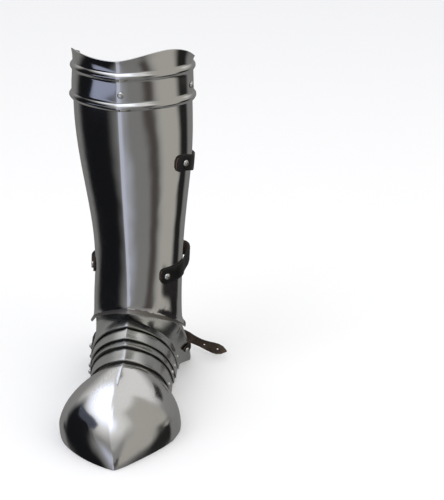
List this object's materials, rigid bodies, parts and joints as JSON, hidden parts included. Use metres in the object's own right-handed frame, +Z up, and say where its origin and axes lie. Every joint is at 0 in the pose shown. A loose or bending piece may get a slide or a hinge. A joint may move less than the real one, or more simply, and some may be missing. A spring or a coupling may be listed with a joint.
{
  "type": "greave with sabaton",
  "caption": "Polished steel half greave with ribbed top band and leather straps, over a jointed plate sabaton with a broad pointed toe.",
  "frame": {"origin": "centre of the whole part's box, on the floor it stands on", "axes": "+Z up, toes towards -Y, the inner side of the leg at +X"},
  "size_m": [0.1996, 0.3314, 0.4455],
  "materials": {
    "polished_steel": "hand polished steel sheet with soft hammer marks",
    "rivet_steel": "bright domed steel",
    "buckle_steel": "dulled steel bar",
    "black_leather": "black grain outside, brown flesh side"
  },
  "bodies": {
    "root": {"shin_plate": "polished_steel", "top_band": "polished_steel", "band_rivet_centre": "rivet_steel", "band_rivet_left": "rivet_steel", "band_rivet_right": "rivet_steel", "upper_strap": "black_leather", "upper_buckle_tab": "black_leather", "upper_buckle_frame": "buckle_steel", "upper_buckle_pin": "buckle_steel", "upper_strap_rivet": "rivet_steel", "upper_tab_rivet": "rivet_steel", "lower_strap": "black_leather", "lower_buckle_tab": "black_leather", "lower_buckle_frame": "buckle_steel", "lower_buckle_pin": "buckle_steel", "lower_strap_rivet": "rivet_steel", "lower_tab_rivet": "rivet_steel", "ankle_plate": "polished_steel", "ankle_pivot_inner": "rivet_steel", "ankle_pivot_outer": "rivet_steel", "ankle_strap": "black_leather", "ankle_strap_rivet": "rivet_steel", "ankle_tab": "black_leather", "ankle_tab_rivet": "rivet_steel"},
    "lame_1_body": {"lame_1": "polished_steel", "lame_1_pivot_inner": "rivet_steel", "lame_1_pivot_outer": "rivet_steel"},
    "lame_2_body": {"lame_2": "polished_steel", "lame_2_pivot_inner": "rivet_steel", "lame_2_pivot_outer": "rivet_steel"},
    "vamp_body": {"vamp": "polished_steel", "vamp_pivot_inner": "rivet_steel", "vamp_pivot_outer": "rivet_steel"},
    "toe_cap_body": {"toe_cap": "polished_steel"}
  },
  "joints": [
    {"name": "ankle_pivot", "type": "hinge", "parent": "root", "child": "lame_1_body", "pos_m": [-0.0216, 0.0647, 0.026], "axis": [-1, 0, 0], "range_deg": [-6, 1]},
    {"name": "lame_1_pivot", "type": "hinge", "parent": "lame_1_body", "child": "lame_2_body", "pos_m": [-0.0216, 0.0386, 0.026], "axis": [-1, 0, 0], "range_deg": [-6, 1]},
    {"name": "lame_2_pivot", "type": "hinge", "parent": "lame_2_body", "child": "vamp_body", "pos_m": [-0.0216, 0.0213, 0.026], "axis": [-1, 0, 0], "range_deg": [-6, 1]},
    {"name": "vamp_pivot", "type": "hinge", "parent": "vamp_body", "child": "toe_cap_body", "pos_m": [-0.0216, -0.0104, 0.026], "axis": [-1, 0, 0], "range_deg": [-3, 1]}
  ]
}
